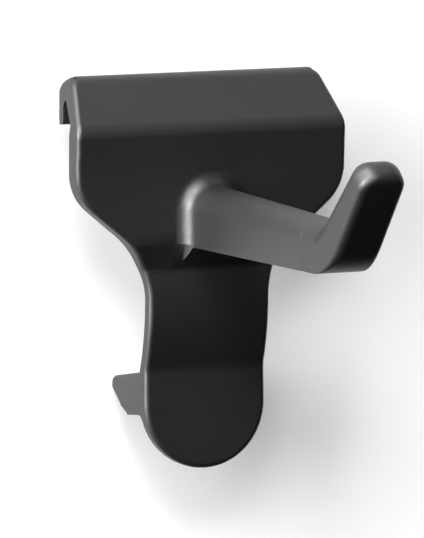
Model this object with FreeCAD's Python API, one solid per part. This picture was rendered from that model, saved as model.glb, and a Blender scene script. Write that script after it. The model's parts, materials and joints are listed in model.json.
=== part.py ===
import FreeCAD, Part
import math
import os

# A one-piece moulded utility hook that snaps onto a horizontal wall rail.
# The origin is on the plate's back face, in the middle of its width, level with
# the rail's top edge where it seats in the slot. +Z is up, -Y is away from the wall
# and +X is to the viewer's right. "Reach" below is a distance in front of the
# plate's back face (negative behind it), and "drop" is a distance below the origin.
# All lengths are millimetres and all angles are degrees.

# Rail that the hook fits
rail_height = 50.0
snap_clearance = 0.2

# Head: the sloping front, the curl over the rail's top edge and the lip behind it
head_width = 54.0
head_top_width = 49.4
head_corner_radius = 2.6
head_side_radius = 12.0
roof_height = 4.2
roll_radius = 3.3
slot_depth = 6.3
slot_top_radius = 1.5
slot_mouth_drop = 4.0
lip_wall = 2.6
lip_width = 50.8
lip_drop = 4.7
lip_tip_radius = 0.9
lip_end_depth = 4.9
lip_end_height = 1.9
crease_drop = 4.9
crease_reach = 4.0
crease_radius = 3.8

# Plate: the flat body that bears on the rail
plate_thickness = 3.65
plate_hollow_drop = 14.0
foot_drop = 26.0
foot_reach = 4.2
shoulder_drop = 17.1
shoulder_radius = 9.0
shoulder_slope = 39.4
neck_radius = 16.0

# Tongue: the bowed spring strip below the plate, and the finger tab at its end
tongue_width = 24.2
tongue_root_drop = 30.7
tongue_root_reach = 2.45
bow_drop = 40.1
bow_reach = 2.9
tab_crease_drop = 49.5
tab_crease_reach = 1.0
tab_crease_radius = 5.0
tab_bottom_drop = 68.2
tab_bottom_reach = 1.9
tab_wall = 2.4
tongue_back_drop = 33.6
tongue_back_reach = 0.75
bow_back_drop = 41.4
bow_back_reach = 0.62
plate_back_drop = 30.2

# Tooth: the wedge behind the tongue that catches under the rail's bottom edge
tooth_root_reach = -1.4
tooth_depth = 15.8
tooth_top_slope = 10.0
tooth_nose_radius = 1.15
tooth_nose_height = 2.3
tooth_height = 8.8
tooth_web_height = 7.8
tooth_base_depth = 8.2
tooth_heel_radius = 3.4
tooth_web_radius = 1.2
relief_angle = 5.3
relief_ridge_depth = 2.7
relief_ridge_drop = 0.9
relief_ridge_slope = 49.0

# Arm: the blade that carries the load
arm_root_width = 9.8
arm_end_width = 9.0
arm_top_drop = 15.8
arm_top_fall = 0.5
arm_bottom_drop = 26.6
arm_bottom_rise = 1.4
arm_top_radius = 4.3
arm_bottom_radius = 0.15
arm_root_fillet = 3.0
arm_root_length = 50.0
gusset_reach = 6.2

# Tip: the upturned end of the arm
elbow_reach = 61.4
elbow_radius = 13.0
inner_elbow_reach = 57.5
inner_elbow_radius = 6.0
tip_front_angle = 53.0
tip_back_angle = 44.5
tip_length = 15.9
tip_corner_radius = 3.4
tip_end_front_radius = 1.6
tip_end_back_radius = 2.9
tip_front_radius = 1.5
tip_back_radius = 2.8

# Rounding of the front's moulded edges
front_edge_radius = 0.95

# How finely the arm's end is skinned
elbow_steps = 10
end_steps = 6

# How far helper shapes run past the surfaces they cut or join
clear_of_fillet = 0.6
outline_clear = 0.15
blend_recess = 0.01
seam_step = 0.02
corner_share = 0.9

overrun = 5.0


def side_point(reach, height):
    """A point of the side view, in the YZ plane."""
    return FreeCAD.Vector(0, -reach, height)


def front_point(across, height):
    """A point of the front view, in the XZ plane."""
    return FreeCAD.Vector(across, 0, height)


def line(start, end):
    return Part.LineSegment(start, end).toShape()


def arc(start, middle, end):
    return Part.Arc(start, middle, end).toShape()


def rounded_path(points, radii, closed=True):
    """Straight runs through points, with each corner rounded by its own radius."""
    count = len(points)
    edges = []
    joints = []
    for index in range(count):
        here = points[index]
        radius = radii[index]
        if radius <= 0 or (not closed and index in (0, count - 1)):
            joints.append((here, here, None))
            continue
        to_last = (points[index - 1] - here).normalize()
        to_next = (points[(index + 1) % count] - here).normalize()
        half = to_last.getAngle(to_next) / 2
        reach = radius / math.tan(half)
        bisector = (to_last + to_next).normalize()
        middle = here + bisector * (radius / math.sin(half) - radius)
        joints.append((here + to_last * reach, here + to_next * reach, middle))
    for index in range(count):
        first, last, middle = joints[index]
        if middle is not None:
            edges.append(arc(first, middle, last))
        if index < count - 1 or closed:
            following = joints[(index + 1) % count][0]
            if last.distanceToPoint(following) > 1e-6:
                edges.append(line(last, following))
    return edges


def tangent_point(outside, centre, radius):
    """Where a line from a point in front of a circle touches the circle's upper side."""
    gap_y = centre.y - outside.y
    gap_z = centre.z - outside.z
    gap = math.hypot(gap_y, gap_z)
    direction = math.atan2(gap_z, gap_y) + math.asin(radius / gap)
    length = math.sqrt(gap * gap - radius * radius)
    return FreeCAD.Vector(
        0, outside.y + length * math.cos(direction), outside.z + length * math.sin(direction)
    )


def circle_point(centre, radius, angle):
    """A point of a circle in the side view; 0 points back and 90 points up."""
    turn = math.radians(angle)
    return FreeCAD.Vector(0, centre.y + radius * math.cos(turn), centre.z + radius * math.sin(turn))


def prism(edges, direction):
    wire = Part.Wire(Part.__sortEdges__(edges))
    return Part.Face(wire).extrude(direction)


def eased_corner(corner, along, inward, circle, radius):
    """Start, middle and end of the arc that eases a straight run into a circle.

    The run leaves the corner in the direction along, and the easing arc's centre
    lies to its inward side, outside the circle.
    """
    offset = corner + inward * radius - circle.Center
    lengthwise = offset * along
    spread = (circle.Radius + radius) ** 2 - offset * offset + lengthwise * lengthwise
    centre = corner + inward * radius + along * (math.sqrt(spread) - lengthwise)
    to_circle = (circle.Center - centre).normalize()
    return (
        centre - inward * radius,
        centre + (to_circle - inward).normalize() * radius,
        centre + to_circle * radius,
    )


def plate_front():
    """The plate's slightly hollow front in the side view, from the crease to the foot."""
    return arc(
        side_point(crease_reach, -crease_drop),
        side_point(plate_thickness, -plate_hollow_drop),
        side_point(foot_reach, -foot_drop),
    )


def side_profile():
    """The section of head, plate, tongue and tooth, extruded across the width."""
    edges = []
    crease = side_point(crease_reach, -crease_drop)
    lip_back = slot_depth + lip_wall
    roll_centre = side_point(roll_radius - lip_back, roof_height - roll_radius)
    slope_top = tangent_point(crease, roll_centre, roll_radius)
    slope_line = (slope_top - crease).normalize()
    inward = FreeCAD.Vector(0, slope_line.z, -slope_line.y)
    crease_upper, crease_middle, crease_lower = eased_corner(
        crease, slope_line, inward, plate_front().Curve, crease_radius
    )

    # The outside, from the lip's tip over the roll and down the front
    lip_tip = -lip_drop
    lip_outer = side_point(-lip_back, lip_tip + lip_tip_radius)
    lip_end = side_point(lip_tip_radius - lip_back, lip_tip)
    tip_centre = side_point(lip_tip_radius - lip_back, lip_tip + lip_tip_radius)
    roll_back = side_point(-lip_back, roof_height - roll_radius)
    slope_angle = math.degrees(
        math.atan2(slope_top.z - roll_centre.z, slope_top.y - roll_centre.y)
    )
    edges.append(arc(lip_end, circle_point(tip_centre, lip_tip_radius, -45), lip_outer))
    edges.append(line(lip_outer, roll_back))
    edges.append(
        arc(roll_back, circle_point(roll_centre, roll_radius, slope_angle / 2), slope_top)
    )
    edges.append(line(slope_top, crease_upper))
    edges.append(arc(crease_upper, crease_middle, crease_lower))
    tongue_root = side_point(tongue_root_reach, -tongue_root_drop)
    tab_crease = side_point(tab_crease_reach, -tab_crease_drop)
    bottom = -tab_bottom_drop - overrun
    tab_lean = (tab_bottom_reach - tab_crease_reach) / (tab_bottom_drop - tab_crease_drop)
    tab_front = side_point(tab_bottom_reach + tab_lean * overrun, bottom)
    foot = side_point(foot_reach, -foot_drop)
    edges.append(arc(crease_lower, side_point(plate_thickness, -plate_hollow_drop), foot))
    edges.append(line(foot, tongue_root))
    bow = side_point(bow_reach, -bow_drop)
    tab_line = (tab_front - tab_crease).normalize()
    forward = FreeCAD.Vector(0, tab_line.z, -tab_line.y)
    tab_start, tab_middle, bow_end = eased_corner(
        tab_crease, tab_line, forward, arc(tongue_root, bow, tab_crease).Curve, tab_crease_radius
    )
    edges.append(arc(tongue_root, bow, bow_end))
    edges.append(arc(bow_end, tab_middle, tab_start))
    edges.append(line(tab_start, tab_front))

    # The back, from the tab's end up past the tooth to the plate
    tab_back = side_point(tab_bottom_reach + tab_lean * overrun - tab_wall, bottom)
    tooth_top = -rail_height - snap_clearance
    tooth_bottom = tooth_top - tooth_height
    web_bottom = tooth_top - tooth_web_height
    web_reach = tab_crease_reach - tab_wall + tab_lean * (-web_bottom - tab_crease_drop)
    tooth_root = side_point(tooth_root_reach, tooth_top)
    nose_top = tooth_top - (tooth_depth + tooth_root_reach) * math.tan(
        math.radians(tooth_top_slope)
    )
    edges.append(line(tab_front, tab_back))
    edges.extend(
        rounded_path(
            [
                tab_back,
                side_point(web_reach, web_bottom),
                side_point(-tooth_base_depth, tooth_bottom),
                side_point(-tooth_depth, nose_top - tooth_nose_height),
                side_point(-tooth_depth, nose_top),
                tooth_root,
            ],
            [0, tooth_web_radius, tooth_heel_radius, tooth_nose_radius, tooth_nose_radius, 0],
            closed=False,
        )
    )
    tongue_back = side_point(tongue_back_reach, -tongue_back_drop)
    plate_back = side_point(0, -plate_back_drop)
    edges.append(arc(tooth_root, side_point(bow_back_reach, -bow_back_drop), tongue_back))
    edges.append(line(tongue_back, plate_back))

    # The slot that takes the rail's top edge
    slot_mouth = side_point(0, -slot_mouth_drop)
    slot_centre = side_point(slot_top_radius - slot_depth, -slot_top_radius)
    slot_front = tangent_point(slot_mouth, slot_centre, slot_top_radius)
    slot_back = side_point(-slot_depth, -slot_top_radius)
    front_angle = math.degrees(
        math.atan2(slot_front.z - slot_centre.z, slot_front.y - slot_centre.y)
    )
    lip_inner = side_point(-slot_depth, lip_tip + lip_tip_radius)
    inner_end = side_point(-slot_depth - lip_tip_radius, lip_tip)
    inner_centre = side_point(-slot_depth - lip_tip_radius, lip_tip + lip_tip_radius)
    edges.append(line(plate_back, slot_mouth))
    edges.append(line(slot_mouth, slot_front))
    edges.append(
        arc(slot_front, circle_point(slot_centre, slot_top_radius, front_angle / 2), slot_back)
    )
    edges.append(line(slot_back, lip_inner))
    edges.append(arc(lip_inner, circle_point(inner_centre, lip_tip_radius, -135), inner_end))
    edges.append(line(inner_end, lip_end))
    return edges


def front_outline():
    """The outline of head, plate, tongue and tab as seen from the front."""
    half_head = head_width / 2
    half_tongue = tongue_width / 2
    slope = math.radians(shoulder_slope)
    neck_drop = shoulder_drop + (half_head - half_tongue) * math.tan(slope)
    right = [
        (head_top_width / 2, roof_height + outline_clear, head_corner_radius),
        (half_head, -crease_drop, head_side_radius),
        (half_head, -shoulder_drop, shoulder_radius),
        (half_tongue, -neck_drop, neck_radius),
        (half_tongue, -tab_bottom_drop, half_tongue),
    ]
    left = [(-across, height, radius) for across, height, radius in reversed(right)]
    corners = right + left
    points = [front_point(across, height) for across, height, radius in corners]
    return rounded_path(points, [radius for across, height, radius in corners])


def middle_of(edge):
    return edge.valueAt((edge.FirstParameter + edge.LastParameter) / 2)


def rounded(solid, radius, edges):
    """Rounds edges, easing the radius down a little where the shape won't take it."""
    for easing in (1, 0.95, 0.9, 0.85, 0.8, 0.7, 0.6, 0.5):
        try:
            result = solid.makeFillet(radius * easing, edges)
        except (Part.OCCError, ValueError):
            continue
        if result.isValid():
            return result
    return solid


def front_rims(solid):
    """Edges where the front faces meet the sides of the outline."""
    rims = []
    for edge in solid.Edges:
        middle = middle_of(edge)
        on_slope = middle.z > -crease_drop and middle.y < 0
        if not on_slope and middle.y > -tab_crease_reach:
            continue
        sideways = []
        for face in solid.ancestorsOfType(edge, Part.Face):
            u, v = face.Surface.parameter(middle)
            sideways.append(abs(face.normalAt(u, v).x) > 1e-6)
        if sorted(sideways) == [False, True]:
            rims.append(edge)
    return rims


def body():
    """Head, plate, tongue, tab and tooth, cut from the section and the outline."""
    half_head = head_width / 2
    slab = prism(side_profile(), FreeCAD.Vector(head_width + 2 * overrun, 0, 0))
    slab.translate(FreeCAD.Vector(-half_head - overrun, 0, 0))
    depth = tooth_depth + overrun
    outline = prism(front_outline(), FreeCAD.Vector(0, -2 * depth, 0))
    outline.translate(FreeCAD.Vector(0, depth, 0))
    blank = slab.common(outline)
    return rounded(blank, front_edge_radius, front_rims(blank))


def lip_end_cuts():
    """Blocks that shorten the lip at both ends, below the curl."""
    span = head_width / 2
    height = lip_drop + overrun + lip_end_height
    cuts = []
    for near in (lip_width / 2, -lip_width / 2 - span):
        corner = FreeCAD.Vector(near, lip_end_depth, lip_end_height - height)
        cuts.append(Part.makeBox(span, slot_depth + lip_wall, height, corner))
    return cuts


def tooth_end_cuts():
    """Wedges that taper both ends of the tooth toward its nose."""
    slope = math.radians(relief_ridge_slope)
    down = FreeCAD.Vector(0, math.cos(slope), -math.sin(slope))
    out = FreeCAD.Vector(0, math.sin(slope), math.cos(slope))
    ridge = side_point(-relief_ridge_depth, -rail_height - relief_ridge_drop)
    drift = tooth_depth * math.tan(math.radians(relief_angle))
    tooth_only = Part.makeBox(
        2 * tongue_width,
        2 * tooth_depth,
        rail_height,
        FreeCAD.Vector(-tongue_width, -tooth_root_reach, -2 * rail_height - snap_clearance),
    )
    cuts = []
    for side in (-1, 1):
        across = FreeCAD.Vector(side, 0, 0)
        start = ridge + across * (tongue_width / 2) - down * tooth_depth
        corners = [
            start,
            start + out * tooth_depth - across * drift,
            start + out * tooth_depth + across * overrun,
            start + across * overrun,
        ]
        wedge = Part.Face(Part.makePolygon(corners + corners[:1])).extrude(down * 2 * tooth_depth)
        cuts.append(wedge.common(tooth_only))
    return cuts


def arm_top(reach):
    """Height of the arm's top at a distance in front of the plate's back."""
    return -arm_top_drop - arm_top_fall * (reach - foot_reach) / (inner_elbow_reach - foot_reach)


def arm_bottom(reach):
    return -arm_bottom_drop + arm_bottom_rise * (reach - gusset_reach) / (elbow_reach - gusset_reach)


def arm_width(reach):
    share = (reach - foot_reach) / (elbow_reach - foot_reach)
    return arm_root_width + (arm_end_width - arm_root_width) * share


def front_reach(height):
    """How far the plate's front stands out where the arm's blend runs into it."""
    if height > -foot_drop:
        hollow = plate_front().Curve
        depth = math.sqrt(hollow.Radius**2 - (height - hollow.Center.z) ** 2)
        return -hollow.Center.y - depth - blend_recess
    share = (-height - foot_drop) / (tongue_root_drop - foot_drop)
    return foot_reach + (tongue_root_reach - foot_reach) * share - blend_recess


def side_plate(points, width):
    """A slab of a side view outline, centred across the hook."""
    wire = Part.makePolygon(points + points[:1])
    slab = Part.Face(wire).extrude(FreeCAD.Vector(width, 0, 0))
    slab.translate(FreeCAD.Vector(-width / 2, 0, 0))
    return slab


def arm_root():
    """The straight blade, blended into the plate and trimmed along its underside."""
    inside = tongue_root_reach / 2
    pad_top = -arm_top_drop + arm_root_fillet + clear_of_fillet
    pad_bottom = -tongue_root_drop - arm_root_fillet
    pad_middle = (pad_top - foot_drop) / 2
    outer = [
        side_point(inside, pad_top),
        side_point(front_reach(pad_top), pad_top),
        side_point(front_reach(-foot_drop), -foot_drop),
        side_point(front_reach(pad_bottom), pad_bottom),
        side_point(inside, pad_bottom),
    ]
    pad_edges = [
        line(outer[0], outer[1]),
        arc(outer[1], side_point(front_reach(pad_middle), pad_middle), outer[2]),
        line(outer[2], outer[3]),
        line(outer[3], outer[4]),
        line(outer[4], outer[0]),
    ]
    pad_width = arm_root_width + 2 * (arm_root_fillet + clear_of_fillet)
    pad = prism(pad_edges, FreeCAD.Vector(pad_width, 0, 0))
    pad.translate(FreeCAD.Vector(-pad_width / 2, 0, 0))
    blade = side_plate(
        [
            side_point(inside, arm_top(inside)),
            side_point(arm_root_length, arm_top(arm_root_length)),
            side_point(arm_root_length, pad_bottom),
            side_point(inside, pad_bottom),
        ],
        2 * arm_root_width,
    )
    plan = []
    for reach, side in ((0, -1), (0, 1), (arm_root_length + overrun, 1), (arm_root_length + overrun, -1)):
        plan.append(FreeCAD.Vector(side * arm_width(reach) / 2, -reach, pad_bottom - overrun))
    taper = Part.Face(Part.makePolygon(plan + plan[:1]))
    blade = blade.common(taper.extrude(FreeCAD.Vector(0, 0, arm_root_length)))
    top_edges = []
    for edge in blade.Edges:
        middle = middle_of(edge)
        on_top = abs(middle.z - arm_top(-middle.y)) < 1e-3
        if on_top and abs(middle.x) > arm_end_width / 4 and edge.Length > arm_root_length / 2:
            top_edges.append(edge)
    blade = blade.makeFillet(arm_top_radius, top_edges)
    joined = pad.fuse(blade).removeSplitter()
    corner_edges = []
    for edge in joined.Edges:
        ends = [vertex.Point for vertex in edge.Vertexes]
        on_front = all(abs(-end.y - front_reach(end.z)) < 1e-3 for end in ends)
        around_blade = all(abs(end.x) < arm_root_width / 2 + 0.1 for end in ends)
        above_end = max(end.z for end in ends) > pad_bottom + 1e-3
        if on_front and around_blade and above_end:
            corner_edges.append(edge)
    joined = joined.makeFillet(arm_root_fillet, corner_edges)
    end_reach = arm_root_length + overrun
    trim = side_plate(
        [
            side_point(end_reach, arm_bottom(end_reach)),
            side_point(gusset_reach, -arm_bottom_drop),
            side_point(tongue_root_reach, -tongue_root_drop),
            side_point(-overrun, -tongue_root_drop),
            side_point(-overrun, 2 * pad_bottom),
            side_point(end_reach, 2 * pad_bottom),
        ],
        4 * arm_root_width,
    )
    return joined.cut(trim)


def turned_corner(corner, before, after, radius, share):
    """A point part of the way round the rounded corner between two directions."""
    turn = before.getAngle(after)
    inward = (after - before * (before * after)).normalize()
    centre = corner - before * radius * math.tan(turn / 2) + inward * radius
    angle = turn * share
    return centre - inward * radius * math.cos(angle) + before * radius * math.sin(angle)


def section(upper, lower, width, upper_radius, lower_radius):
    """A rounded rectangle across the arm, between a point of its top and one of its bottom."""
    across = FreeCAD.Vector(width / 2, 0, 0)
    corners = [upper - across, upper + across, lower + across, lower - across]
    return Part.Wire(rounded_path(corners, [upper_radius, upper_radius, lower_radius, lower_radius]))


def edge_cut(radius, rise):
    """How far the rounding of an edge of the tip's end has come in at a rise up the tip."""
    past = max(0, rise - tip_corner_radius + radius)
    return radius - math.sqrt(max(0, radius * radius - past * past))


def arm_tip():
    """The end of the arm, skinned over sections that turn up the elbow to a rounded tip."""
    outer = side_point(elbow_reach, arm_bottom(elbow_reach))
    inner = side_point(inner_elbow_reach, arm_top(inner_elbow_reach))
    outer_run = (outer - side_point(gusset_reach, -arm_bottom_drop)).normalize()
    inner_run = (inner - side_point(foot_reach, -arm_top_drop)).normalize()
    front = side_point(math.cos(math.radians(tip_front_angle)), math.sin(math.radians(tip_front_angle)))
    back = side_point(math.cos(math.radians(tip_back_angle)), math.sin(math.radians(tip_back_angle)))
    lift = (front + back).normalize()
    back_end = inner + back * tip_length
    front_end = outer + front * (((back_end - outer) * lift) / (front * lift))

    start = arm_root_length
    sections = [
        section(
            side_point(start, arm_top(start) - seam_step),
            side_point(start, arm_bottom(start) + seam_step),
            arm_width(start) - 2 * seam_step,
            arm_top_radius,
            arm_bottom_radius,
        )
    ]
    for step in range(elbow_steps + 1):
        share = step / elbow_steps
        fade = (1 + math.cos(math.pi * share)) / 2
        sections.append(
            section(
                turned_corner(inner, inner_run, back, inner_elbow_radius, share),
                turned_corner(outer, outer_run, front, elbow_radius, share),
                arm_end_width + (arm_width(inner_elbow_reach) - arm_end_width) * fade,
                tip_back_radius + (arm_top_radius - tip_back_radius) * fade,
                tip_front_radius + (arm_bottom_radius - tip_front_radius) * fade,
            )
        )
    tip_back = (back_end - front_end).normalize()
    for step in range(end_steps + 1):
        rise = tip_corner_radius * math.sin(math.radians(90 * step / end_steps))
        back_cut = edge_cut(tip_end_back_radius, rise)
        front_cut = edge_cut(tip_end_front_radius, rise)
        half_width = arm_end_width / 2 - edge_cut(tip_corner_radius, rise)
        upper = back_end + back * rise - tip_back * back_cut
        lower = front_end + front * rise + tip_back * front_cut
        room = corner_share * min(half_width, upper.distanceToPoint(lower) / 2)
        sections.append(
            section(
                upper, lower, 2 * half_width, min(tip_back_radius, room), min(tip_front_radius, room)
            )
        )
    return Part.makeLoft(sections, True, True)


os.makedirs("parts", exist_ok=True)
hook = body().fuse([arm_root(), arm_tip()]).removeSplitter()
hook = hook.cut(lip_end_cuts() + tooth_end_cuts())
hook.Solids[0].exportStep("parts/rail_hook.step")
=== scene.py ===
"""A black moulded rail hook against a white wall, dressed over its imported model."""

import json
import logging
import math
from dataclasses import dataclass
from enum import Enum
from typing import Any

import bmesh
import bpy
from mathutils import Matrix, Vector

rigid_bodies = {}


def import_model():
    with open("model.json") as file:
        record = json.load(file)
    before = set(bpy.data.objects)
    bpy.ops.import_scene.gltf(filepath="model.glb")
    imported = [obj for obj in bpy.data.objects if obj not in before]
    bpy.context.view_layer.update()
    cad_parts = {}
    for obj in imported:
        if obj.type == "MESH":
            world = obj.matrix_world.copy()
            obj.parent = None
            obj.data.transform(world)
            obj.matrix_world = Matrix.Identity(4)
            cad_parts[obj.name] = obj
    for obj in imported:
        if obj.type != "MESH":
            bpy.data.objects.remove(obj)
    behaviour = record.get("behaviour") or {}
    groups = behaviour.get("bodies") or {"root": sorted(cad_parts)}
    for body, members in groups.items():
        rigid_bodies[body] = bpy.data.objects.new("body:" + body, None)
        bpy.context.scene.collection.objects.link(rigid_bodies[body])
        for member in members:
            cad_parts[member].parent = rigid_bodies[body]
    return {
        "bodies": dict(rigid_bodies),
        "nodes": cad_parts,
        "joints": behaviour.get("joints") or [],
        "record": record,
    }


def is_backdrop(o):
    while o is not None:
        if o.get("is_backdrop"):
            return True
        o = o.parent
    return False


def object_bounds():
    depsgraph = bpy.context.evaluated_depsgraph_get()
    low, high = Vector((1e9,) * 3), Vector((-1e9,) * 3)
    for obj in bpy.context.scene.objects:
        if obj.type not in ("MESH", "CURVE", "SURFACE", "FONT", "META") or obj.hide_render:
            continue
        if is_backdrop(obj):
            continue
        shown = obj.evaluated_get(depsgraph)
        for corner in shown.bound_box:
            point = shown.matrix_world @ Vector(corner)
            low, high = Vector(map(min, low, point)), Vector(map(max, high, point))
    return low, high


logging.basicConfig(level=logging.INFO, format="%(levelname)s %(message)s")
log = logging.getLogger("rail_hook_scene")

MM = 0.001
Colour = tuple[float, float, float]
Socket = bpy.types.NodeSocket


class NodeGroup:
    """A group of nodes with its start and its end."""

    def __init__(self, name: str, kind: str) -> None:
        """Starts an empty group.

        Args:
            name: What the group is called in the file.
            kind: Blender's type of the group.
        """
        self.tree = bpy.data.node_groups.new(name, kind)
        self.start = self.tree.nodes.new("NodeGroupInput")
        self.end = self.tree.nodes.new("NodeGroupOutput")

    def link(self, source: Socket, target: Socket) -> None:
        """Joins two sockets."""
        self.tree.links.new(source, target)


class EffectGroup(NodeGroup):
    """A shader node group with named inputs and outputs, built once and shared."""

    def __init__(self, name: str) -> None:
        """Starts an empty shader group.

        Args:
            name: What the group is called in the file.
        """
        super().__init__(name, "ShaderNodeTree")

    def socket(self, name: str, inward: bool, default: float | None = None) -> None:
        """Adds a number's socket to the group.

        Args:
            name: The socket's name.
            inward: True for an input, False for an output.
            default: The value that an input has when nothing is linked to it.
        """
        made = self.tree.interface.new_socket(
            name=name,
            in_out="INPUT" if inward else "OUTPUT",
            socket_type="NodeSocketFloat",
        )
        if default is not None:
            made.default_value = default

    def node(self, kind: str, **settings: Any) -> bpy.types.Node:
        """Adds a node.

        Args:
            kind: The node's type without its ShaderNode prefix.
            settings: Properties to set on the node.

        Returns:
            The new node.
        """
        made = self.tree.nodes.new(f"ShaderNode{kind}")
        for name, value in settings.items():
            setattr(made, name, value)
        return made

    def noise(self, detail: float) -> bpy.types.Node:
        """Adds a noise that stays with the piece.

        Args:
            detail: How many finer layers the noise has.

        Returns:
            The noise's node.
        """
        place = self.node("TexCoord")
        made = self.node("TexNoise")
        made.inputs["Detail"].default_value = detail
        self.link(place.outputs["Object"], made.inputs["Vector"])
        return made


@dataclass(frozen=True)
class MouldedGrain:
    """The fine spark grain of a mould, with slow changes of gloss over it."""

    grain_scale: float = 2600.0
    grain_detail: float = 3.0
    grain_harshness: float = 0.6
    gloss_scale: float = 70.0
    gloss_detail: float = 4.0
    gloss_middle: float = 0.5
    roughness: float = 0.4
    roughness_spread: float = 0.08

    def build(self) -> bpy.types.ShaderNodeTree:
        """Builds the group.

        Returns:
            A group that puts out a height for a bump and a roughness.
        """
        group = EffectGroup("moulded grain")
        group.socket("Grain Scale", True, self.grain_scale)
        group.socket("Roughness", True, self.roughness)
        group.socket("Roughness Spread", True, self.roughness_spread)
        group.socket("Height", False)
        group.socket("Roughness", False)
        fine = group.noise(self.grain_detail)
        fine.inputs["Roughness"].default_value = self.grain_harshness
        group.link(group.start.outputs["Grain Scale"], fine.inputs["Scale"])
        group.link(fine.outputs["Fac"], group.end.inputs["Height"])

        slow = group.noise(self.gloss_detail)
        slow.inputs["Scale"].default_value = self.gloss_scale
        centred = group.node("Math", operation="SUBTRACT")
        centred.inputs[1].default_value = self.gloss_middle
        group.link(slow.outputs["Fac"], centred.inputs[0])
        spread = group.node("Math", operation="MULTIPLY_ADD")
        group.link(centred.outputs[0], spread.inputs[0])
        group.link(group.start.outputs["Roughness Spread"], spread.inputs[1])
        group.link(group.start.outputs["Roughness"], spread.inputs[2])
        group.link(spread.outputs[0], group.end.inputs["Roughness"])
        return group.tree


@dataclass(frozen=True)
class PaintedEdgeHighlight:
    """The mask of convex edges painted a little paler, in patches: a painted edge highlight."""

    start: float = 0.52
    full: float = 0.62
    patch_scale: float = 420.0
    patch_detail: float = 5.0

    def build(self) -> bpy.types.ShaderNodeTree:
        """Builds the group.

        Returns:
            A group that puts out a mask from 0 to 1.
        """
        group = EffectGroup("painted edge highlight")
        group.socket("Start", True, self.start)
        group.socket("Full", True, self.full)
        group.socket("Mask", False)
        # Convex edges, found by pointiness, get the painted edge highlight.
        shape = group.node("NewGeometry")
        span = group.node("MapRange")
        group.link(shape.outputs["Pointiness"], span.inputs["Value"])
        group.link(group.start.outputs["Start"], span.inputs["From Min"])
        group.link(group.start.outputs["Full"], span.inputs["From Max"])
        patches = group.noise(self.patch_detail)
        patches.inputs["Scale"].default_value = self.patch_scale
        product = group.node("Math", operation="MULTIPLY", use_clamp=True)
        group.link(span.outputs["Result"], product.inputs[0])
        group.link(patches.outputs["Fac"], product.inputs[1])
        group.link(product.outputs[0], group.end.inputs["Mask"])
        return group.tree


@dataclass(frozen=True)
class MouldedPlastic:
    """A satin black plastic as it comes from a finely grained mould."""

    name: str = "black moulded plastic"
    colour: Colour = (0.004, 0.004, 0.0042)
    # The paler colour painted on convex edges: a painted edge highlight.
    highlight_colour: Colour = (0.02, 0.02, 0.0205)
    roughness: float = 0.48
    roughness_spread: float = 0.08
    specular: float = 0.6
    grain_scale: float = 2600.0
    grain_depth: float = 0.012 * MM

    def build(
        self,
        grain: bpy.types.ShaderNodeTree,
        edges: bpy.types.ShaderNodeTree,
    ) -> bpy.types.Material:
        """Makes the material.

        Args:
            grain: The moulded grain group.
            edges: The painted edge highlight group.

        Returns:
            The finished material.
        """
        material = bpy.data.materials.new(self.name)
        material.use_nodes = True
        nodes = material.node_tree.nodes
        links = material.node_tree.links
        shader = nodes["Principled BSDF"]
        shader.inputs["Specular IOR Level"].default_value = self.specular

        surface = nodes.new("ShaderNodeGroup")
        surface.node_tree = grain
        surface.inputs["Grain Scale"].default_value = self.grain_scale
        surface.inputs["Roughness"].default_value = self.roughness
        surface.inputs["Roughness Spread"].default_value = self.roughness_spread
        links.new(surface.outputs["Roughness"], shader.inputs["Roughness"])
        bump = nodes.new("ShaderNodeBump")
        bump.inputs["Distance"].default_value = self.grain_depth
        links.new(surface.outputs["Height"], bump.inputs["Height"])
        links.new(bump.outputs["Normal"], shader.inputs["Normal"])

        # Convex edges are painted paler here: a painted edge highlight in the base colour.
        edge_highlight = nodes.new("ShaderNodeGroup")
        edge_highlight.node_tree = edges
        blend = nodes.new("ShaderNodeMix")
        blend.data_type = "RGBA"
        blend.inputs["A"].default_value = (*self.colour, 1)
        blend.inputs["B"].default_value = (*self.highlight_colour, 1)
        links.new(edge_highlight.outputs["Mask"], blend.inputs["Factor"])
        links.new(blend.outputs["Result"], shader.inputs["Base Color"])
        return material


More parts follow.
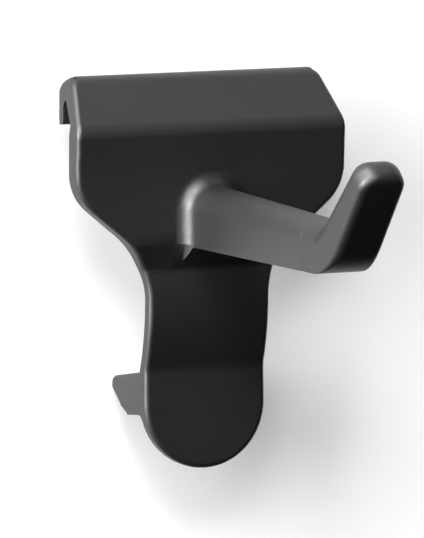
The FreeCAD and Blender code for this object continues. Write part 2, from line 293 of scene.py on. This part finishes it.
class MeshGroup(NodeGroup):
    """A modifier's node group with one mesh in and one out."""

    def __init__(self, name: str) -> None:
        """Starts a group that takes a mesh and gives one back.

        Args:
            name: What the group is called in the file.
        """
        super().__init__(name, "GeometryNodeTree")
        for side in ("INPUT", "OUTPUT"):
            self.tree.interface.new_socket(
                name="Geometry", in_out=side, socket_type="NodeSocketGeometry"
            )

    def compared(self, operation: str, value: Socket, limit: float) -> Socket:
        """Compares a value with a limit.

        Args:
            operation: Blender's name of the comparison.
            value: The value's socket.
            limit: What it's compared with.

        Returns:
            The answer's socket.
        """
        made = self.tree.nodes.new("FunctionNodeCompare")
        made.operation = operation
        self.link(value, made.inputs[0])
        made.inputs[1].default_value = limit
        return made.outputs[0]

    def joined(self, operation: str, first: Socket, *others: Socket) -> Socket:
        """Joins answers with AND or OR.

        Args:
            operation: AND or OR.
            first: The first answer's socket.
            others: The other answers' sockets.

        Returns:
            The joined answer's socket.
        """
        answer = first
        for other in others:
            made = self.tree.nodes.new("FunctionNodeBooleanMath")
            made.operation = operation
            self.link(answer, made.inputs[0])
            self.link(other, made.inputs[1])
            answer = made.outputs[0]
        return answer

    def edge_angle(self) -> Socket:
        """Gives the angle between the two faces of each edge."""
        return self.tree.nodes.new("GeometryNodeInputMeshEdgeAngle").outputs["Unsigned Angle"]

    def parts(self, kind: str) -> bpy.types.NodeOutputs:
        """Splits what a vector input node gives into its X, Y and Z.

        Args:
            kind: The input node's full type.

        Returns:
            The sockets of the three parts.
        """
        vector = self.tree.nodes.new(kind)
        split = self.tree.nodes.new("ShaderNodeSeparateXYZ")
        self.link(vector.outputs[0], split.inputs[0])
        return split.outputs

    def unsigned(self, value: Socket) -> Socket:
        """Drops the sign of a value.

        Args:
            value: The value's socket.

        Returns:
            The socket of its size.
        """
        made = self.tree.nodes.new("ShaderNodeMath")
        made.operation = "ABSOLUTE"
        self.link(value, made.inputs[0])
        return made.outputs[0]

    def from_reach(self, reach: float) -> Socket:
        """Gives how far each edge is from a distance in front of the rail.

        Args:
            reach: The distance in front of the rail.

        Returns:
            The socket of the distance between them.
        """
        shifted = self.tree.nodes.new("ShaderNodeMath")
        shifted.operation = "ADD"
        self.link(self.parts("GeometryNodeInputPosition")["Y"], shifted.inputs[0])
        shifted.inputs[1].default_value = reach
        return self.unsigned(shifted.outputs[0])


@dataclass(frozen=True)
class OuterRims:
    """The sharp outer rims of the moulding, clear of the arm, which the rounding takes."""

    least_angle: float = 32.0
    front_facing: float = -0.25
    front_limit: float = 1.2 * MM
    roll_limit: float = 1.2 * MM
    lip_limit: float = 8.2 * MM
    arm_side: float = 9.0 * MM
    arm_drop: float = 40.0 * MM
    short_edge: float = 0.06 * MM
    weight: str = "bevel_weight_edge"

    def build(self) -> bpy.types.GeometryNodeTree:
        """Builds a group that closes up a rim's shortest edges and weights the rims.

        Returns:
            The group.
        """
        group = MeshGroup("edges to round")
        place = group.parts("GeometryNodeInputPosition")
        outward = group.parts("GeometryNodeInputNormal")
        beside = group.compared("GREATER_THAN", group.unsigned(place["X"]), self.arm_side)
        below = group.compared("LESS_THAN", place["Z"], -self.arm_drop)
        clear = group.joined("OR", beside, below)
        forward = group.compared("LESS_THAN", outward["Y"], self.front_facing)
        ahead = group.compared("LESS_THAN", place["Y"], self.front_limit)
        front = group.joined("AND", forward, ahead)
        roll = group.compared("GREATER_THAN", place["Z"], self.roll_limit)
        lip = group.compared("GREATER_THAN", place["Y"], self.lip_limit)
        outer = group.joined("OR", front, roll, lip)
        sharp = group.compared("GREATER_THAN", group.edge_angle(), math.radians(self.least_angle))
        rim = group.joined("AND", sharp, outer, clear)

        merged = group.tree.nodes.new("GeometryNodeMergeByDistance")
        merged.inputs["Distance"].default_value = self.short_edge
        group.link(clear, merged.inputs["Selection"])
        group.link(group.start.outputs[0], merged.inputs["Geometry"])
        store = group.tree.nodes.new("GeometryNodeStoreNamedAttribute")
        store.data_type = "FLOAT"
        store.domain = "EDGE"
        store.inputs["Name"].default_value = self.weight
        group.link(merged.outputs[0], store.inputs["Geometry"])
        group.link(rim, store.inputs["Value"])
        group.link(store.outputs[0], group.end.inputs[0])
        return group.tree


@dataclass(frozen=True)
class SmoothShading:
    """Smooth shading where faces meet gently, and over the joint of the arm and its tip."""

    largest_angle: float = 40.0
    joint_reach: float = 50.0 * MM
    joint_width: float = 0.2 * MM
    joint_drop: float = 25.2 * MM

    def build(self) -> bpy.types.GeometryNodeTree:
        """Builds a group that shades the mesh and leaves its shape alone.

        Returns:
            The group.
        """
        group = MeshGroup("smoothed by angle")
        plain = group.tree.nodes.new("GeometryNodeRemoveAttribute")
        plain.inputs["Name"].default_value = "custom_normal"
        faces = group.tree.nodes.new("GeometryNodeSetShadeSmooth")
        faces.domain = "FACE"
        edges = group.tree.nodes.new("GeometryNodeSetShadeSmooth")
        edges.domain = "EDGE"
        gentle = group.compared("LESS_EQUAL", group.edge_angle(), math.radians(self.largest_angle))
        height = group.parts("GeometryNodeInputPosition")["Z"]
        above = group.compared("GREATER_THAN", height, -self.joint_drop)
        near = group.compared("LESS_EQUAL", group.from_reach(self.joint_reach), self.joint_width)
        smooth = group.joined("OR", gentle, group.joined("AND", above, near))
        group.link(group.start.outputs[0], plain.inputs["Geometry"])
        group.link(plain.outputs[0], faces.inputs["Geometry"])
        group.link(faces.outputs[0], edges.inputs["Geometry"])
        group.link(smooth, edges.inputs["Shade Smooth"])
        group.link(edges.outputs[0], group.end.inputs[0])
        return group.tree


@dataclass
class Hook:
    """The one-piece moulded hook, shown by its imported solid."""

    node: str = "rail_hook"
    slot: str = "hook_plastic"
    weld_gap: float = 0.002 * MM
    flat_angle: float = 0.3
    rims: OuterRims = OuterRims()
    rim_round: float = 0.95 * MM
    rim_segments: int = 4
    sliver_gap: float = 0.04 * MM
    shading: SmoothShading = SmoothShading()

    def dress(self, frame: dict[str, Any], finish: bpy.types.Material) -> bpy.types.Object:
        """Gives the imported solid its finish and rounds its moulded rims.

        Args:
            finish: The plastic.

        Returns:
            The dressed object.
        """
        hook = frame["nodes"][self.node]
        for place in hook.material_slots:
            place.material = finish
        self.join_flats(hook)
        self.round_rims(hook)
        self.shade(hook)
        log.info("dressed %s with %s", self.node, finish.name)
        return hook

    def join_flats(self, hook: bpy.types.Object) -> None:
        """Joins the loose triangles and makes each flat one face.

        Args:
            hook: The hook's object.
        """
        weld = hook.modifiers.new("joined triangles", "WELD")
        weld.merge_threshold = self.weld_gap
        whole = hook.modifiers.new("whole flats", "DECIMATE")
        whole.decimate_type = "DISSOLVE"
        whole.angle_limit = math.radians(self.flat_angle)

    def round_rims(self, hook: bpy.types.Object) -> None:
        """Rounds the outer rims and splits the flats again.

        Args:
            hook: The hook's object.
        """
        marks = hook.modifiers.new("edges to round", "NODES")
        marks.node_group = self.rims.build()
        rounding = hook.modifiers.new("moulded edges", "BEVEL")
        rounding.width = self.rim_round
        rounding.segments = self.rim_segments
        rounding.limit_method = "WEIGHT"
        rounding.use_clamp_overlap = False
        rounding.loop_slide = False
        closed = hook.modifiers.new("slivers closed", "WELD")
        closed.merge_threshold = self.sliver_gap
        split = hook.modifiers.new("flats split cleanly", "TRIANGULATE")
        split.quad_method = "BEAUTY"
        split.ngon_method = "BEAUTY"

    def shade(self, hook: bpy.types.Object) -> None:
        """Shades curves smooth and keeps the flats flat.

        Args:
            hook: The hook's object.
        """
        smooth = hook.modifiers.new("smoothed by angle", "NODES")
        smooth.node_group = self.shading.build()
        flats = hook.modifiers.new("flats kept flat", "WEIGHTED_NORMAL")
        flats.keep_sharp = True


def backdrop_ray(tree: bpy.types.ShaderNodeTree) -> Socket:
    """Tells the rays that show a backdrop from those that only light the hook.

    Args:
        tree: The nodes of a material or a world.

    Returns:
        A socket that gives 1 in view, in reflections and through glass, and 0 otherwise.
    """
    path = tree.nodes.new("ShaderNodeLightPath")
    answer = path.outputs["Is Camera Ray"]
    for kind in ("Is Glossy Ray", "Is Transmission Ray"):
        either = tree.nodes.new("ShaderNodeMath")
        either.operation = "MAXIMUM"
        tree.links.new(answer, either.inputs[0])
        tree.links.new(path.outputs[kind], either.inputs[1])
        answer = either.outputs[0]
    return answer


@dataclass
class Wall:
    """The white wall behind the hook, which keeps its soft shadow."""

    distance: float = 16.4 * MM
    half_width: float = 0.8
    glow: float = 0.22
    paint: float = 0.8

    def build(self) -> bpy.types.Object:
        """Makes the wall.

        Returns:
            The wall's object.
        """
        mesh = bpy.data.meshes.new("wall")
        shape = bmesh.new()
        facing = Matrix.Rotation(math.radians(90), 4, "X")
        place = Matrix.Translation(Vector((0, self.distance, 0)))
        bmesh.ops.create_grid(shape, x_segments=1, y_segments=1, size=self.half_width, matrix=place @ facing)
        shape.to_mesh(mesh)
        shape.free()
        wall = bpy.data.objects.new("wall", mesh)
        bpy.context.scene.collection.objects.link(wall)
        mesh.materials.append(self.finish())
        wall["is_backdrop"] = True
        log.info("built wall")
        return wall

    def finish(self) -> bpy.types.Material:
        """Makes white paint that glows a little in view and is clear from behind.

        Returns:
            The paint.
        """
        material = bpy.data.materials.new("white wall paint")
        material.use_nodes = True
        nodes = material.node_tree.nodes
        links = material.node_tree.links
        nodes.clear()
        out = nodes.new("ShaderNodeOutputMaterial")
        paint = nodes.new("ShaderNodeBsdfDiffuse")
        paint.inputs["Color"].default_value = (self.paint, self.paint, self.paint, 1)
        level = nodes.new("ShaderNodeMath")
        level.operation = "MULTIPLY"
        level.inputs[1].default_value = self.glow
        links.new(backdrop_ray(material.node_tree), level.inputs[0])
        glow = nodes.new("ShaderNodeEmission")
        links.new(level.outputs[0], glow.inputs["Strength"])
        painted = nodes.new("ShaderNodeAddShader")
        links.new(paint.outputs[0], painted.inputs[0])
        links.new(glow.outputs[0], painted.inputs[1])
        clear = nodes.new("ShaderNodeBsdfTransparent")
        side = nodes.new("ShaderNodeNewGeometry")
        choose = nodes.new("ShaderNodeMixShader")
        links.new(side.outputs["Backfacing"], choose.inputs["Fac"])
        links.new(painted.outputs[0], choose.inputs[1])
        links.new(clear.outputs[0], choose.inputs[2])
        links.new(choose.outputs[0], out.inputs["Surface"])
        return material


class LampRole(Enum):
    """What each lamp of the studio is for."""

    SIDE = "side strip"
    KEY = "key"
    EDGE = "edge strip"
    OVERHEAD = "overhead"
    SLOPE = "upper right"
    LOW = "low right"


@dataclass(frozen=True)
class SoftLamp:
    """One soft rectangular lamp that faces the hook from a direction and a distance."""

    role: LampRole
    azimuth: float
    elevation: float
    width: float
    height: float
    brightness: float
    reflected_only: bool = False
    distance: float = 1.3

    def build(self, target: Vector) -> bpy.types.Object:
        """Makes the lamp.

        Args:
            target: The point that the lamp faces.

        Returns:
            The lamp's object.
        """
        lamp = bpy.data.lights.new(f"{self.role.value} lamp", "AREA")
        lamp.shape = "RECTANGLE"
        lamp.size = self.width
        lamp.size_y = self.height
        lamp.energy = math.pi * self.width * self.height * self.brightness
        turn = math.radians(self.azimuth)
        tilt = math.radians(self.elevation)
        away = Vector((math.sin(turn) * math.cos(tilt), -math.cos(turn) * math.cos(tilt), math.sin(tilt)))
        made = bpy.data.objects.new(lamp.name, lamp)
        bpy.context.scene.collection.objects.link(made)
        made.visible_camera = False
        made.visible_diffuse = not self.reflected_only
        made.location = target + away * self.distance
        made.rotation_mode = "QUATERNION"
        made.rotation_quaternion = (-away).to_track_quat("-Z", "Y")
        log.info("built %s", lamp.name)
        return made


@dataclass
class Studio:
    """The soft lamps and the pale surroundings."""

    lamps: tuple[SoftLamp, ...] = (
        SoftLamp(LampRole.SIDE, -74, 20, 0.9, 1.2, 13.0),
        SoftLamp(LampRole.KEY, -28, 40, 0.5, 0.5, 17.0),
        SoftLamp(LampRole.EDGE, -84, 8, 0.5, 1.0, 30.0, reflected_only=True),
        SoftLamp(LampRole.OVERHEAD, -70, 60, 0.8, 0.5, 24.0, reflected_only=True),
        SoftLamp(LampRole.SLOPE, 70, 62, 0.7, 0.5, 0.8, reflected_only=True),
        SoftLamp(LampRole.LOW, 30, 13, 0.6, 0.2, 1.0, reflected_only=True),
    )
    ambient: float = 0.15

    def build(self, target: Vector) -> None:
        """Lights the scene.

        Args:
            target: The point that the lamps face.
        """
        for lamp in self.lamps:
            lamp.build(target)
        self.surroundings()

    def surroundings(self) -> None:
        """Makes surroundings that are white to look at and dimmer as light."""
        world = bpy.data.worlds.new("studio")
        world.use_nodes = True
        bpy.context.scene.world = world
        back = world.node_tree.nodes["Background"]
        back.inputs["Color"].default_value = (1, 1, 1, 1)
        level = world.node_tree.nodes.new("ShaderNodeMath")
        level.operation = "MAXIMUM"
        level.inputs[1].default_value = self.ambient
        world.node_tree.links.new(backdrop_ray(world.node_tree), level.inputs[0])
        world.node_tree.links.new(level.outputs[0], back.inputs["Strength"])
        log.info("built surroundings")


@dataclass
class DarkCloth:
    """Dark cloth below and on every side but the wall's, seen in reflections only."""

    reach: float = 3.0
    drop: float = 0.12
    back: float = 15.0 * MM
    colour: Colour = (0.004, 0.004, 0.004)

    def build(self) -> bpy.types.Object:
        """Hangs the cloth.

        Returns:
            The cloth's object.
        """
        mesh = bpy.data.meshes.new("dark cloth")
        shape = bmesh.new()
        height = self.reach + self.drop
        size = Matrix.Diagonal((2 * self.reach, self.reach, height, 1))
        middle = Vector((0, self.back - self.reach / 2, height / 2 - self.drop))
        bmesh.ops.create_cube(shape, size=1, matrix=Matrix.Translation(middle) @ size)
        wall_side = max(shape.faces, key=lambda face: face.calc_center_median().y)
        bmesh.ops.delete(shape, geom=[wall_side], context="FACES")
        shape.to_mesh(mesh)
        shape.free()
        mesh.materials.append(self.finish())
        cloth = bpy.data.objects.new("dark cloth", mesh)
        bpy.context.scene.collection.objects.link(cloth)
        cloth.visible_camera = False
        cloth.visible_diffuse = False
        cloth.visible_transmission = False
        cloth.visible_volume_scatter = False
        cloth.visible_shadow = False
        cloth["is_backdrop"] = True
        log.info("hung dark cloth")
        return cloth

    def finish(self) -> bpy.types.Material:
        """Makes the cloth's dull black.

        Returns:
            The cloth's material.
        """
        material = bpy.data.materials.new("dark cloth")
        material.use_nodes = True
        shader = material.node_tree.nodes["Principled BSDF"]
        shader.inputs["Base Color"].default_value = (*self.colour, 1)
        shader.inputs["Roughness"].default_value = 1.0
        shader.inputs["Specular IOR Level"].default_value = 0.0
        return material


@dataclass
class PhotoCamera:
    """The camera at the photograph's viewing angle."""

    frame_width: float = 424.0
    frame_height: float = 538.0
    azimuth: float = 25.0
    elevation: float = 7.564
    roll: float = 0.405
    focal_pixels: float = 7369.27
    pixels_per_mm: float = 5.4815
    distance: float = 1344.39 * MM
    target: tuple[float, float, float] = (0.0, 0.0, -4.9 * MM)
    target_pixel: tuple[float, float] = (203.522, 124.244)
    sensor_size: float = 36.0
    nearest: float = 0.05
    farthest: float = 50.0

    def build(self) -> bpy.types.Object:
        """Makes the camera and looks through it.

        Returns:
            The camera's object.
        """
        turn = math.radians(self.azimuth)
        tilt = math.radians(self.elevation)
        ahead = Vector((math.sin(turn) * math.cos(tilt), math.cos(turn) * math.cos(tilt), -math.sin(tilt)))
        right = Vector((math.cos(turn), -math.sin(turn), 0))
        up = right.cross(ahead)
        metre_per_pixel = MM / self.pixels_per_mm
        aside = (self.target_pixel[0] - self.frame_width / 2) * metre_per_pixel
        below = (self.target_pixel[1] - self.frame_height / 2) * metre_per_pixel
        place = Vector(self.target) - ahead * self.distance - right * aside + up * below
        lens = bpy.data.cameras.new("photo camera")
        lens.sensor_width = self.sensor_size
        lens.lens = self.sensor_size * self.focal_pixels / self.frame_height
        lens.clip_start = self.nearest
        lens.clip_end = self.farthest
        roll = math.radians(self.roll)
        rolled_right = right * math.cos(roll) + up * math.sin(roll)
        rolled_up = up * math.cos(roll) - right * math.sin(roll)
        camera = bpy.data.objects.new("photo camera", lens)
        bpy.context.scene.collection.objects.link(camera)
        axes = Matrix((rolled_right, rolled_up, -ahead)).transposed()
        camera.matrix_world = Matrix.Translation(place) @ axes.to_4x4()
        bpy.context.scene.camera = camera
        log.info("built camera with a %.0f mm lens", lens.lens)
        return camera


def main() -> None:
    """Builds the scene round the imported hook."""
    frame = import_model()
    cad_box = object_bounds()
    bpy.context.scene.view_settings.view_transform = "Standard"
    plastic = MouldedPlastic().build(MouldedGrain().build(), PaintedEdgeHighlight().build())
    Hook().dress(frame, plastic)
    Wall().build()
    low, high = cad_box
    Studio().build((low + high) / 2)
    DarkCloth().build()
    PhotoCamera().build()


if __name__ == "__main__":
    main()
